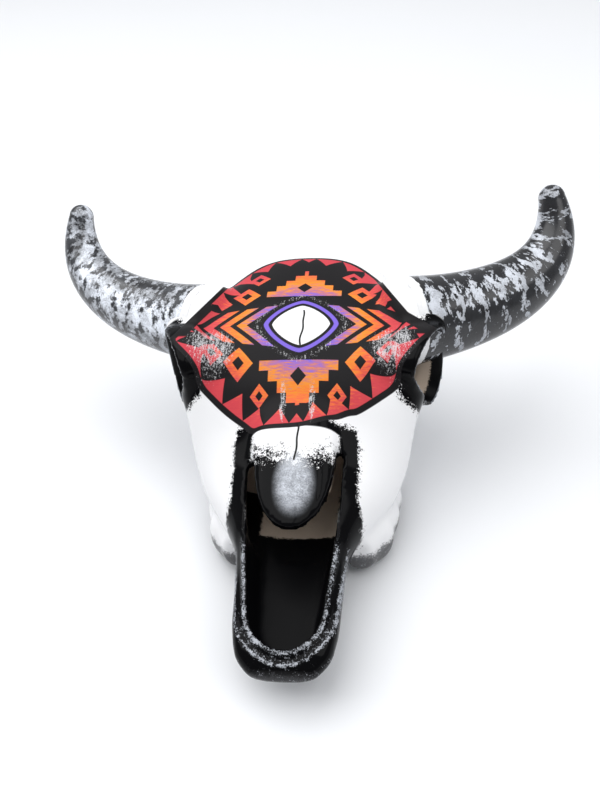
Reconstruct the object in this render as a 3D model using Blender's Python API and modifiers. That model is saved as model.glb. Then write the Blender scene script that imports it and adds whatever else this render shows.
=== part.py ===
"""Hollow ceramic bull skull, lying on its cheek teeth and the back of its head.

Metres, +Z up, the muzzle points to -Y. The origin is on the table, under the middle of the skull.
The real one is a single thin-walled cast. It is modelled whole here, then parted by thin cuts.
Sizes are given in millimetres and turned to metres by MM.
"""

import math

import bmesh
import bpy
from mathutils import Matrix, Vector

MM = 0.001
GAP = 0.3
WALL = 3.6

# Head, from the back of the skull to the muzzle
# y, half width, top, level of the widest place, underside, half width below, roundness of the top
HEAD_STATIONS = (
    (55.0, 19.0, 58.0, 42.0, 20.0, 13.0, 2.2),
    (51.5, 29.0, 66.5, 44.0, 9.0, 18.0, 2.2),
    (45.0, 36.0, 70.6, 46.0, -0.4, 21.0, 2.4),
    (34.0, 39.5, 71.6, 47.0, -0.8, 22.0, 2.5),
    (22.0, 43.0, 71.6, 50.0, 4.0, 24.0, 2.8),
    (15.0, 47.0, 71.0, 52.0, 7.0, 25.0, 3.0),
    (8.0, 50.0, 69.8, 52.0, 9.0, 27.0, 3.1),
    (0.0, 49.0, 68.2, 51.5, 10.0, 28.0, 3.2),
    (-8.0, 45.8, 65.4, 49.0, 10.5, 29.0, 3.0),
    (-18.0, 41.8, 59.6, 42.0, 10.5, 30.0, 2.6),
    (-28.0, 38.8, 51.0, 29.0, 10.5, 30.0, 2.15),
    (-38.0, 34.5, 44.9, 23.0, 10.5, 27.0, 2.1),
    (-47.0, 29.0, 42.6, 23.0, 10.5, 21.0, 2.2),
    (-56.0, 23.5, 38.8, 23.0, 11.0, 16.0, 2.7),
    (-66.0, 19.0, 34.5, 22.0, 11.5, 13.5, 3.4),
    (-80.0, 17.6, 30.2, 20.0, 12.0, 13.0, 4.0),
    (-92.0, 16.8, 26.3, 18.5, 12.0, 13.0, 4.0),
    (-101.0, 14.8, 23.4, 17.5, 12.2, 11.5, 3.8),
    (-105.8, 10.6, 20.4, 16.4, 12.2, 8.5, 3.2),
)
SIDE_ROUNDNESS = 2.6
HEAD_RINGS = 54
HEAD_SIDES = 48

# Nasal bridge, from the brow to the free tip of the nasal bones: y, half width, top
BRIDGE_STATIONS = (
    (-8.0, 9.0, 60.5),
    (-18.0, 12.5, 57.6),
    (-30.0, 14.8, 53.0),
    (-44.0, 15.2, 47.0),
    (-56.0, 15.0, 42.0),
    (-68.0, 14.6, 37.0),
)
BRIDGE_DEPTH = 16.0
BRIDGE_ROUNDNESS = 3.0
BRIDGE_RINGS = 24
BRIDGE_SIDES = 20

# Nose opening seen from above: the rim's inner edge, then the edge of the nasal bones: y, half width
NOSE_RIM = ((-40.0, 16.4), (-52.0, 15.8), (-64.0, 14.6), (-74.0, 13.4), (-87.0, 11.8))
NOSE_FRONT = -99.8
NASAL_EDGE = ((-40.0, 13.9), (-47.0, 13.1), (-53.0, 11.6), (-58.5, 9.2), (-62.5, 5.8), (-64.6, 2.4))
NASAL_WALL = 3.0
NASAL_ROOT = -34.0
NASAL_FRONT = -75.0
NASAL_UNDERSIDE = 30.0
NASAL_PART_HALF = 14.3
SLIT_TOP = {"left": -39.0, "right": -36.0}
RIM_LEVEL = (22.4, -100.0, 0.316)
NOSE_FLOOR = 15.5
NOSE_FLOOR_NARROWING = 0.8
NOSE_CUT_ABOVE_RIM = 16.0
NOSE_FRONT_STEPS = 13
TROUGH_BELOW_RIM = 1.5

# Inner hollow, seen through the nose and the sockets, with a rounded end at the back
HOLLOW_BACK = 22.0
HOLLOW_FRONT = -62.0
HOLLOW_RINGS = 18
HOLLOW_SIDES = 28
HOLLOW_SCALE_AT_BACK = 0.45
HOLLOW_ROUNDING = 26.0
UNDER_BRIDGE_BACK = -20.0
UNDER_BRIDGE_RINGS = 14

# Eye sockets: an outline in the plane of the opening, forwards and up from its middle
SOCKET_CENTRE = (47.2, -4.0, 52.0)
SOCKET_TURN = math.radians(25.0)
SOCKET_OUTLINE = (
    (-9.6, 12.4),
    (1.2, 16.4),
    (10.0, 14.4),
    (14.2, 9.4),
    (11.0, 2.0),
    (7.0, -5.0),
    (3.0, -12.0),
    (-2.0, -16.2),
    (-7.6, -14.8),
    (-11.2, -8.5),
    (-11.2, 1.0),
)
SOCKET_NEAREST = 8.6
SOCKET_STEPS = 3
SOCKET_LIP = 1.12
SOCKET_TUBE = 12.0
SOCKET_REACH = 10.0
SOCKET_NARROWING = 0.72
SOCKET_CLEARANCE = 6.0
SOCKET_WALL_DEPTH = 40.0
SOCKET_WALL_OUT = 1.0

# Brow over each socket, from an upright oval in the forehead to one in the plane of the opening
BROW_INNER = (14.0, 0.0, 57.5)
BROW_INNER_HALVES = (15.0, 9.0)
BROW_OUTER = (0.6, 4.4)
BROW_OUTER_HALVES = (13.6, 11.2)
BROW_OUT = -0.4
BROW_SIDES = 24

# Horns: a bent centre line, thicker on the right horn, cut flat where it leaves its root in the head
HORN_LINE = ((34.0, 15.5, 59.9), (56.0, 25.5, 55.4), (106.5, 46.6, 50.0), (93.2, 61.4, 87.5))
HORN_RADII = (16.6, 13.9, 10.4, 4.3)
HORN_THICKNESS = {"left": 0.95, "right": 1.05}
HORN_END = {"left": 0.965, "right": 0.98}
HORN_RINGS = 26
HORN_TIP_RINGS = 5
HORN_ROOT_CUT = 38.5
HORN_ROOT_SPAN = (0.16, 0.02)
HORN_ROOT_CAP = 6.0
HORN_ROOT_RINGS = 8

# Tooth rows: y, half width, depth of the row's underside; the row's middle, in and out
TOOTH_STATIONS = (
    (-7.0, 3.5, 9.0),
    (-13.0, 6.0, 1.6),
    (-24.0, 7.6, -0.7),
    (-38.0, 8.0, -0.7),
    (-49.0, 7.6, -0.6),
    (-56.0, 4.6, 4.0),
)
TOOTH_MIDDLE = ((-7.0, 29.0), (-30.0, 28.0), (-46.0, 25.0), (-56.0, 21.5))
TOOTH_TOP = 20.0
TOOTH_LINE = 9.0
TOOTH_BACK = 2.0
TOOTH_RINGS = 26
TOOTH_SIDES = 16
TOOTH_SQUARENESS = 0.8
MOLARS = 5
MOLAR_RELIEF = 0.5

# Where the skull is parted
FACE_CUT = -25.0
MUZZLE_CUT = -57.0

# Blending of the joined forms
BLEND_VOXEL = 1.5
BLEND_SMOOTHING = 6
HEAD_TRIANGLES = 4400
SHARP_ANGLE = math.radians(40.0)
BEYOND = 200.0

SIDES = {"left": -1, "right": 1}
COLOURS = {
    "cranium": (0.05, 0.05, 0.055),
    "upper_jaw": (0.88, 0.87, 0.86),
    "muzzle": (0.015, 0.015, 0.018),
    "nasal_bones": (0.12, 0.12, 0.13),
    "tooth_row_left": (0.25, 0.25, 0.26),
    "tooth_row_right": (0.25, 0.25, 0.26),
    "horn_left": (0.16, 0.16, 0.17),
    "horn_right": (0.16, 0.16, 0.17),
}
GLAZE_ROUGHNESS = 0.25


def between(table, y):
    """The row of a table at y, along a smooth curve through its rows, which run from high y to low y."""
    last = len(table) - 1
    y = min(max(y, table[last][0]), table[0][0])
    i = next(k for k in range(last) if y >= table[k + 1][0])
    before, start, end, after = (table[min(max(k, 0), last)] for k in (i - 1, i, i + 1, i + 2))
    t = (start[0] - y) / (start[0] - end[0])
    row = [y]
    for column in range(1, len(start)):
        a, b, c, d = before[column], start[column], end[column], after[column]
        curve = 2 * b + (c - a) * t + (2 * a - 5 * b + 4 * c - d) * t**2 + (3 * b - a - 3 * c + d) * t**3
        row.append(curve / 2)
    return row


def signed_power(value, power):
    return math.copysign(abs(value) ** power, value)


def head_ring(y, inset=0.0, sides=HEAD_SIDES):
    """One cross section of the head, inset by a wall."""
    _, half, top, wide, under, below, roundness = between(HEAD_STATIONS, y)
    half, below, top, under = half - inset, below - inset, top - inset, under + inset
    ring = []
    for i in range(sides):
        turn = 2 * math.pi * i / sides
        across, up = math.cos(turn), math.sin(turn)
        if up >= 0:
            x = half * signed_power(across, 2 / roundness)
            z = wide + (top - wide) * up ** (2 / roundness)
        else:
            drop = abs(up) ** (2 / SIDE_ROUNDNESS)
            x = (half + (below - half) * drop**1.5) * signed_power(across, 2 / SIDE_ROUNDNESS)
            z = wide - (wide - under) * drop
        ring.append((x, y, z))
    return ring


def bridge_ring(y, inset=0.0, sides=BRIDGE_SIDES):
    _, half, top = between(BRIDGE_STATIONS, y)
    half, top, deep = half - inset, top - inset, BRIDGE_DEPTH
    ring = []
    for i in range(sides):
        turn = 2 * math.pi * i / sides
        x = half * signed_power(math.cos(turn), 2 / BRIDGE_ROUNDNESS)
        z = top - deep / 2 + deep / 2 * signed_power(math.sin(turn), 2 / BRIDGE_ROUNDNESS)
        ring.append((x, y, z))
    return ring


def tooth_ring(y, side, sides=TOOTH_SIDES):
    """A rounded bar under the cheek, with a low swelling for each molar."""
    _, half, under = between(TOOTH_STATIONS, y)
    middle = between(TOOTH_MIDDLE, y)[1]
    length = TOOTH_STATIONS[0][0] - TOOTH_STATIONS[-1][0]
    half += MOLAR_RELIEF * math.cos(2 * math.pi * MOLARS * (y - TOOTH_STATIONS[0][0]) / length)
    ring = []
    for i in range(sides):
        turn = 2 * math.pi * i / sides
        x = side * middle + half * signed_power(math.cos(turn), TOOTH_SQUARENESS)
        z = (TOOTH_TOP + under) / 2 + (TOOTH_TOP - under) / 2 * signed_power(math.sin(turn), TOOTH_SQUARENESS)
        ring.append((x, y, z))
    return ring


def spaced(start, end, count):
    return [start + (end - start) * i / (count - 1) for i in range(count)]


def clear_scene():
    for obj in list(bpy.data.objects):
        bpy.data.objects.remove(obj)


def new_collection(name):
    made = bpy.data.collections.new(name)
    bpy.context.scene.collection.children.link(made)
    return made


def mesh_object(name, form, collection):
    bmesh.ops.recalc_face_normals(form, faces=form.faces)
    mesh = bpy.data.meshes.new(name)
    form.to_mesh(mesh)
    form.free()
    made = bpy.data.objects.new(name, mesh)
    collection.objects.link(made)
    return made


def loft(name, rings, collection):
    """A closed body through rings of points in millimetres, with a fan at each end."""
    form = bmesh.new()
    loops = [[form.verts.new(Vector(point) * MM) for point in ring] for ring in rings]
    for first, second in zip(loops, loops[1:]):
        for i, corner in enumerate(first):
            after = (i + 1) % len(first)
            form.faces.new((corner, first[after], second[after], second[i]))
    for loop in (loops[0], loops[-1]):
        hub = form.verts.new(sum((corner.co for corner in loop), Vector()) / len(loop))
        for i, corner in enumerate(loop):
            form.faces.new((hub, corner, loop[(i + 1) % len(loop)]))
    return mesh_object(name, form, collection)


def block(name, low, high, collection):
    """A box between two corners in millimetres."""
    form = bmesh.new()
    bmesh.ops.create_cube(form, size=MM)
    size = [b - a for a, b in zip(low, high)]
    bmesh.ops.scale(form, vec=size, verts=form.verts)
    bmesh.ops.translate(form, vec=(Vector(low) + Vector(high)) / 2 * MM, verts=form.verts)
    return mesh_object(name, form, collection)


def baked(obj):
    """Replaces an object's mesh by its evaluated one, with the modifiers in it."""
    graph = bpy.context.evaluated_depsgraph_get()
    graph.update()
    mesh = bpy.data.meshes.new_from_object(obj.evaluated_get(graph), depsgraph=graph)
    obj.modifiers.clear()
    obj.data = mesh
    return obj


def combine(obj, other, operation):
    modifier = obj.modifiers.new(operation.lower(), "BOOLEAN")
    modifier.operation = operation
    modifier.object = other
    return baked(obj)


def copy_of(obj, name, collection):
    made = bpy.data.objects.new(name, obj.data.copy())
    collection.objects.link(made)
    return made


def largest_only(obj):
    """Keeps an object's largest connected surface and drops loose scraps."""
    form = bmesh.new()
    form.from_mesh(obj.data)
    left = set(form.verts)
    groups = []
    while left:
        group = {left.pop()}
        edge = list(group)
        while edge:
            corner = edge.pop()
            for link in corner.link_edges:
                other = link.other_vert(corner)
                if other in left:
                    left.remove(other)
                    group.add(other)
                    edge.append(other)
        groups.append(group)
    groups.sort(key=len)
    for group in groups[:-1]:
        bmesh.ops.delete(form, geom=list(group), context="VERTS")
    form.to_mesh(obj.data)
    form.free()
    return obj


def closed_curve(points, steps):
    """A smooth closed line through points, with some steps between each two."""
    count = len(points)
    line = []
    for i in range(count):
        a, b, c, d = (Vector(points[(i + k) % count]) for k in (-1, 0, 1, 2))
        for step in range(steps):
            t = step / steps
            curve = 2 * b + (c - a) * t + (2 * a - 5 * b + 4 * c - d) * t**2 + (3 * b - a - 3 * c + d) * t**3
            line.append(curve / 2)
    return line


def socket_point(side, ahead, up, out):
    """A place in the frame of an eye socket: forwards and up in its plane, and outwards."""
    x, y, z = SOCKET_CENTRE
    forwards = Vector((-side * math.sin(SOCKET_TURN), -math.cos(SOCKET_TURN), 0.0))
    outwards = Vector((side * math.cos(SOCKET_TURN), -math.sin(SOCKET_TURN), 0.0))
    return Vector((side * x, y, z + up)) + forwards * ahead + outwards * out


def socket_ring(side, out, size=1.0):
    """The outline of an eye socket at a distance outwards, scaled about its middle."""
    outline = closed_curve(SOCKET_OUTLINE, SOCKET_STEPS)
    return [socket_point(side, ahead * size, up * size, out) for ahead, up in outline]


def horn_point(t, side):
    a, b, c, d = (Vector((side * x, y, z)) for x, y, z in HORN_LINE)
    return a * (1 - t) ** 3 + b * 3 * t * (1 - t) ** 2 + c * 3 * t**2 * (1 - t) + d * t**3


def horn_radius(t):
    """The horn's radius, along a cubic through its four given radii."""
    total = 0.0
    marks = (0.0, 1 / 3, 2 / 3, 1.0)
    for i, radius in enumerate(HORN_RADII):
        share = radius
        for k, mark in enumerate(marks):
            if k != i:
                share *= (t - mark) / (marks[i] - mark)
        total += share
    return total


def curve_tube(name, points, radii, collection):
    """A round tube along points in millimetres, made a mesh with closed ends."""
    line = bpy.data.curves.new(name, "CURVE")
    line.dimensions = "3D"
    line.bevel_depth = MM
    line.bevel_resolution = 7
    line.use_fill_caps = True
    line.twist_mode = "MINIMUM"
    spline = line.splines.new("POLY")
    spline.points.add(len(points) - 1)
    for spot, point, radius in zip(spline.points, points, radii):
        spot.co = (*(point * MM), 1.0)
        spot.radius = radius
    curve = bpy.data.objects.new(name + "_line", line)
    collection.objects.link(curve)
    graph = bpy.context.evaluated_depsgraph_get()
    form = bmesh.new()
    form.from_mesh(bpy.data.meshes.new_from_object(curve.evaluated_get(graph), depsgraph=graph))
    bmesh.ops.remove_doubles(form, verts=form.verts, dist=0.01 * MM)
    bpy.data.objects.remove(curve)
    return mesh_object(name, form, collection)


def add_rounded_end(points, radii, depth, steps):
    """Closes a tube with a rounded end of some depth, by adding shrinking sections to it."""
    heading = (points[-1] - points[-2]).normalized()
    end, radius = points[-1], radii[-1]
    for i in range(1, steps):
        turn = math.pi / 2 * i / steps
        points.append(end + heading * depth * math.sin(turn))
        radii.append(radius * math.cos(turn))


def brow(side, collection):
    """A low form over an eye socket, between two ovals."""
    x, y, z = BROW_INNER
    inner, outer = [], []
    for i in range(BROW_SIDES):
        ahead, up = math.cos(2 * math.pi * i / BROW_SIDES), math.sin(2 * math.pi * i / BROW_SIDES)
        long, high = BROW_INNER_HALVES
        inner.append((side * x, y - long * ahead, z + high * up))
        long, high = BROW_OUTER_HALVES
        outer.append(socket_point(side, BROW_OUTER[0] + long * ahead, BROW_OUTER[1] + high * up, BROW_OUT))
    return loft("brow", [inner, outer], collection)


def horn_root(side, thickness, collection):
    """The root of a horn on the head, from inside the horn to a rounded end inside the head."""
    marks = spaced(*HORN_ROOT_SPAN, HORN_ROOT_RINGS)
    points = [horn_point(t, side) for t in marks]
    radii = [horn_radius(t) * thickness for t in marks]
    add_rounded_end(points, radii, HORN_ROOT_CAP, HORN_TIP_RINGS)
    return curve_tube("root", points, radii, collection)


def horn(name, which, collection, cutters, room=0.0):
    """A bent, tapering horn with a blunt tip. Its root is cut flat, and clear of the eye socket's wall."""
    side = SIDES[which]
    points, radii = [], []
    for t in spaced(0.0, HORN_END[which], HORN_RINGS):
        points.append(horn_point(t, side))
        radii.append(horn_radius(t) * HORN_THICKNESS[which] + room)
    add_rounded_end(points, radii, radii[-1], HORN_TIP_RINGS)
    made = curve_tube(name, points, radii, collection)
    inner, outer = sorted((side * (HORN_ROOT_CUT - room), -side * BEYOND))
    root_cut = block("root_cut", (inner, -BEYOND, -BEYOND), (outer, BEYOND, BEYOND), cutters)
    combine(made, root_cut, "DIFFERENCE")
    size = SOCKET_LIP + (GAP - room) / SOCKET_NEAREST
    wall = [socket_ring(side, out, size) for out in (-SOCKET_WALL_DEPTH, SOCKET_WALL_OUT - room)]
    return largest_only(combine(made, loft("socket_wall", wall, cutters), "DIFFERENCE"))


def head_blank(collection):
    """The whole head as one solid: its forms joined, blended and thinned to few faces."""
    ys = spaced(HEAD_STATIONS[0][0], HEAD_STATIONS[-1][0], HEAD_RINGS)
    head = loft("head", [head_ring(y) for y in ys], collection)
    ys = spaced(BRIDGE_STATIONS[0][0], BRIDGE_STATIONS[-1][0], BRIDGE_RINGS)
    forms = [loft("bridge", [bridge_ring(y) for y in ys], collection)]
    for name, side in SIDES.items():
        rings = [socket_ring(side, out, SOCKET_LIP) for out in (-SOCKET_TUBE, 0.0)]
        forms.extend((loft("orbit", rings, collection), brow(side, collection)))
        ys = spaced(TOOTH_STATIONS[0][0], TOOTH_STATIONS[-1][0], TOOTH_RINGS)
        forms.append(loft("teeth", [tooth_ring(y, side) for y in ys], collection))
        forms.append(horn_root(side, HORN_THICKNESS[name], collection))
    for form in forms:
        combine(head, form, "UNION")
        bpy.data.objects.remove(form)
    blend = head.modifiers.new("blend", "REMESH")
    blend.mode = "VOXEL"
    blend.voxel_size = BLEND_VOXEL * MM
    soften = head.modifiers.new("soften", "SMOOTH")
    soften.iterations = BLEND_SMOOTHING
    baked(head)
    fewer = head.modifiers.new("fewer_faces", "DECIMATE")
    fewer.ratio = HEAD_TRIANGLES / (2 * len(head.data.polygons))
    return baked(head)


def hollow_rings():
    """The head's sections inset by the wall, closing to a rounded end at the back."""
    rings = []
    for y in spaced(HOLLOW_BACK, HOLLOW_FRONT, HOLLOW_RINGS):
        ring = head_ring(y, WALL, HOLLOW_SIDES)
        into = min(1.0, (HOLLOW_BACK - y) / HOLLOW_ROUNDING)
        size = HOLLOW_SCALE_AT_BACK + (1 - HOLLOW_SCALE_AT_BACK) * math.sqrt(into * (2 - into))
        middle = sum((Vector(point) for point in ring), Vector()) / len(ring)
        rings.append([middle + (Vector(point) - middle) * size for point in ring])
    return rings


def nose_rim(narrowing=1.0):
    """The rim's inner edge seen from above, from the left slit round the front to the right slit."""
    left = [(-half * narrowing, y) for y, half in NOSE_RIM]
    y, half = NOSE_RIM[-1]
    turns = spaced(math.pi, 2 * math.pi, NOSE_FRONT_STEPS)[1:-1]
    reach = y - NOSE_FRONT
    front = [(half * narrowing * math.cos(turn), y + reach * math.sin(turn)) for turn in turns]
    right = [(half * narrowing, y) for y, half in reversed(NOSE_RIM)]
    return left + front + right


def nasal_edge():
    """The free edge of the nasal bones, with both slit tops, from the right slit to the left one."""
    right = [(half, y) for y, half in NASAL_EDGE]
    left = [(-half, y) for y, half in reversed(NASAL_EDGE)]
    (half, _), (rim, _) = reversed(NASAL_EDGE[0]), reversed(NOSE_RIM[0])
    start = [(rim, SLIT_TOP["right"]), (half, SLIT_TOP["right"])]
    return start + right + left + [(-half, SLIT_TOP["left"]), (-rim, SLIT_TOP["left"])]


def rim_level(y):
    level, start, slope = RIM_LEVEL
    return level + slope * (y - start)


def nose_cutter(name, low, high, collection):
    """A closed body between two loops of points with the same number of corners."""
    form = bmesh.new()
    loops = [[form.verts.new(Vector(point) * MM) for point in level] for level in (low, high)]
    for i, corner in enumerate(loops[0]):
        after = (i + 1) % len(low)
        form.faces.new((corner, loops[0][after], loops[1][after], loops[1][i]))
    form.faces.new(loops[0])
    form.faces.new(loops[1])
    bmesh.ops.triangulate(form, faces=form.faces)
    return mesh_object(name, form, collection)


def nose_cutters(collection):
    """The trough of the nose, which narrows to its floor, and the opening round the nasal bones above it."""
    floor = [(x, y, NOSE_FLOOR) for x, y in nose_rim(NOSE_FLOOR_NARROWING)]
    rim = [(x, y, rim_level(y) - TROUGH_BELOW_RIM) for x, y in nose_rim()]
    opening = nose_rim() + nasal_edge()
    low = [(x, y, rim_level(y) - 2 * TROUGH_BELOW_RIM) for x, y in opening]
    high = [(x, y, rim_level(y) + NOSE_CUT_ABOVE_RIM) for x, y in opening]
    return [nose_cutter("trough", floor, rim, collection), nose_cutter("opening", low, high, collection)]


def open_head(head, cutters):
    """Hollows the head and cuts the nose opening, the sockets, the horn seats and the resting flats."""
    ys = spaced(UNDER_BRIDGE_BACK, BRIDGE_STATIONS[-1][0], UNDER_BRIDGE_RINGS)
    spaces = [loft("hollow", hollow_rings(), cutters)] + nose_cutters(cutters)
    spaces.append(loft("under_bridge", [bridge_ring(y, NASAL_WALL) for y in ys], cutters))
    for name, side in SIDES.items():
        inner = socket_ring(side, -SOCKET_REACH, SOCKET_NARROWING)
        rings = [inner, socket_ring(side, 0.0), socket_ring(side, SOCKET_CLEARANCE)]
        spaces.append(loft("socket", rings, cutters))
        spaces.append(horn("seat", name, cutters, cutters, GAP))
    spaces.append(block("floor", (-BEYOND, -BEYOND, -BEYOND), (BEYOND, BEYOND, 0.0), cutters))
    for space in spaces:
        combine(head, space, "DIFFERENCE")
    return head


def part_off(head, name, low, high, parts, cutters):
    """Parts the piece of the head between two corners into its own object, with a thin gap left."""
    keep = block(name + "_keep", low, high, cutters)
    piece = combine(copy_of(head, name, parts), keep, "INTERSECT")
    low, high = [value - GAP for value in low], [value + GAP for value in high]
    combine(head, block(name + "_clear", low, high, cutters), "DIFFERENCE")
    return largest_only(piece)


def finish_material(obj):
    made = bpy.data.materials.new(obj.name)
    made.use_nodes = True
    shader = made.node_tree.nodes["Principled BSDF"]
    shader.inputs["Base Color"].default_value = (*COLOURS[obj.name], 1.0)
    shader.inputs["Roughness"].default_value = GLAZE_ROUGHNESS
    shader.inputs["Metallic"].default_value = 0.0
    obj.data.materials.clear()
    obj.data.materials.append(made)
    obj.data.shade_smooth()
    obj.data.set_sharp_from_angle(angle=SHARP_ANGLE)


def settle(objects):
    """Moves all meshes so that the origin is under the middle of the whole, on the table."""
    corners = [v.co for obj in objects for v in obj.data.vertices]
    low = [min(co[i] for co in corners) for i in range(3)]
    high = [max(co[i] for co in corners) for i in range(3)]
    shift = Vector((-(low[0] + high[0]) / 2, -(low[1] + high[1]) / 2, -low[2]))
    for obj in objects:
        obj.data.transform(Matrix.Translation(shift))


def main():
    clear_scene()
    parts = new_collection("bull_skull")
    cutters = new_collection("cutters")
    head = open_head(head_blank(parts), cutters)
    low_corner = (-BEYOND, -BEYOND, -BEYOND)
    nasal_corners = ((-NASAL_PART_HALF, NASAL_FRONT, NASAL_UNDERSIDE), (NASAL_PART_HALF, NASAL_ROOT, BEYOND))
    part_off(head, "nasal_bones", *nasal_corners, parts, cutters)
    part_off(head, "muzzle", low_corner, (BEYOND, MUZZLE_CUT, BEYOND), parts, cutters)
    for name, side in SIDES.items():
        low, high = sorted((0.0, side * BEYOND))
        corners = ((low, MUZZLE_CUT - GAP, -BEYOND), (high, TOOTH_BACK, TOOTH_LINE))
        part_off(head, "tooth_row_" + name, *corners, parts, cutters)
    part_off(head, "upper_jaw", low_corner, (BEYOND, FACE_CUT, BEYOND), parts, cutters)
    head.name = "cranium"
    largest_only(head)
    for name in SIDES:
        horn("horn_" + name, name, parts, cutters)
    for cutter in list(cutters.objects):
        bpy.data.objects.remove(cutter)
    bpy.data.collections.remove(cutters)
    settle(parts.objects)
    for obj in parts.objects:
        finish_material(obj)


if __name__ == "__main__":
    main()
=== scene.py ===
"""Hand-painted ceramic bull skull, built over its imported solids. Laid out as an add-on, run as a script.

The head is one glazed cast, and the two horns are glazed over it. Tables and places are in millimetres,
measured from the middle plane of the skull, and the property groups are in metres.
"""

import math

import bpy
import numpy as np
from mathutils import Matrix, Vector
from mathutils.bvhtree import BVHTree


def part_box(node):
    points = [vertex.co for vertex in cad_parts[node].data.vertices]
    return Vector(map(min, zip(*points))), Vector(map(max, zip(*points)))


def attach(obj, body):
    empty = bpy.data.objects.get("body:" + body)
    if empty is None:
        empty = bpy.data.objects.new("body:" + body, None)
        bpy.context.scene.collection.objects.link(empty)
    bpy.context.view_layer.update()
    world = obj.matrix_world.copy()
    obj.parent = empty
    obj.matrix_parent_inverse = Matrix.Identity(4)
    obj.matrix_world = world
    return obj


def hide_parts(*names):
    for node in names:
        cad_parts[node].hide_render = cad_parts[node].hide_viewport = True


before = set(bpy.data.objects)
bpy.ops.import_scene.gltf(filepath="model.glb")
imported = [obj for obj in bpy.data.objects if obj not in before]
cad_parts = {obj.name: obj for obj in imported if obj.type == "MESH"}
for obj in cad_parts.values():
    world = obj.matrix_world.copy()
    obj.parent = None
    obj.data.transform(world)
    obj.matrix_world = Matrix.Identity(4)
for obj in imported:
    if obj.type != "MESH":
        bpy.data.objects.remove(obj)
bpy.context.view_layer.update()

bl_info = {
    "name": "Painted Ceramic Bull Skull",
    "version": (1, 0, 0),
    "blender": (4, 5, 0),
    "location": "3D View > Sidebar > Skull",
    "description": "Builds a hollow, hand-painted ceramic bull skull with its horns and a plain stage",
    "category": "Add Mesh",
}

MM = 0.001
HEAD_NODES = ("cranium", "upper_jaw", "nasal_bones", "muzzle", "tooth_row_left", "tooth_row_right")
SIDES = {"left": -1, "right": 1}
UPWARDS = np.array((0.0, 0.0, 1.0))

# Cross sections along each form, and points round each of them
SECTIONS = {
    "head": 160,
    "hollow": 40,
    "bridge": 40,
    "under_bridge": 30,
    "teeth": 60,
    "socket": 8,
    "root": 8,
    "root_cap": 6,
    "horn_tip": 16,
    "nose_front": 13,
}
ROUND = {"head": 144, "hollow": 72, "bridge": 48, "teeth": 40, "brow": 48, "root": 64}
CURVE_STEPS = 6

# Head, from the back of the skull to the muzzle
# y, half width, top, level of the widest place, underside, half width below, squareness of the top
HEAD_STATIONS = (
    (55.0, 19.0, 58.0, 42.0, 20.0, 13.0, 2.2),
    (51.5, 29.0, 66.5, 44.0, 9.0, 18.0, 2.2),
    (45.0, 36.0, 70.6, 46.0, -0.4, 21.0, 2.4),
    (34.0, 39.5, 71.6, 47.0, -0.8, 22.0, 2.5),
    (22.0, 43.0, 71.6, 50.0, 4.0, 24.0, 2.8),
    (15.0, 47.0, 71.0, 52.0, 7.0, 25.0, 3.0),
    (8.0, 50.0, 69.8, 52.0, 9.0, 27.0, 3.1),
    (0.0, 49.0, 68.2, 51.5, 10.0, 28.0, 3.2),
    (-8.0, 45.8, 65.4, 49.0, 10.5, 29.0, 3.0),
    (-18.0, 41.8, 59.6, 42.0, 10.5, 30.0, 2.6),
    (-28.0, 38.8, 51.0, 29.0, 10.5, 30.0, 2.15),
    (-38.0, 34.5, 44.9, 23.0, 10.5, 27.0, 2.1),
    (-47.0, 29.0, 42.6, 23.0, 10.5, 21.0, 2.2),
    (-56.0, 23.5, 38.8, 23.0, 11.0, 16.0, 2.7),
    (-66.0, 19.0, 34.5, 22.0, 11.5, 13.5, 3.4),
    (-80.0, 17.6, 30.2, 20.0, 12.0, 13.0, 4.0),
    (-92.0, 16.8, 26.3, 18.5, 12.0, 13.0, 4.0),
    (-101.0, 14.8, 23.4, 17.5, 12.2, 11.5, 3.8),
    (-105.8, 10.6, 20.4, 16.4, 12.2, 8.5, 3.2),
)
SIDE_SQUARENESS = 2.6
SIDE_TAPER = 1.5

# Nasal bridge, from the brow to the free tip of the nasal bones: y, half width, top
BRIDGE_STATIONS = (
    (-8.0, 9.0, 60.5),
    (-18.0, 12.5, 57.6),
    (-30.0, 14.8, 53.0),
    (-44.0, 15.2, 47.0),
    (-56.0, 15.0, 42.0),
    (-68.0, 14.6, 37.0),
)
BRIDGE_DEPTH = 16.0
BRIDGE_SQUARENESS = 3.0
UNDER_BRIDGE_BACK = -20.0

# Nose opening seen from above: the rim's inner edge, then the edge of the nasal bones: y, half width
NOSE_RIM = ((-40.0, 16.4), (-52.0, 15.8), (-64.0, 14.6), (-74.0, 13.4), (-87.0, 11.8))
NOSE_FRONT = -99.8
NASAL_EDGE = ((-40.0, 13.9), (-47.0, 13.1), (-53.0, 11.6), (-58.5, 9.2), (-62.5, 5.8), (-64.6, 2.4))
SLIT_TOP = {"left": -39.0, "right": -36.0}
RIM_LEVEL = (22.4, -100.0, 0.316)
NOSE_FLOOR = 15.5
NOSE_FLOOR_NARROWING = 0.8
NOSE_CUT_ABOVE_RIM = 16.0
TROUGH_BELOW_RIM = 1.5

# Inner hollow, with a rounded end at the back
HOLLOW_BACK = 22.0
HOLLOW_FRONT = -62.0
HOLLOW_SCALE_AT_BACK = 0.45
HOLLOW_ROUNDING = 26.0
NASAL_WALL = 3.0

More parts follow.
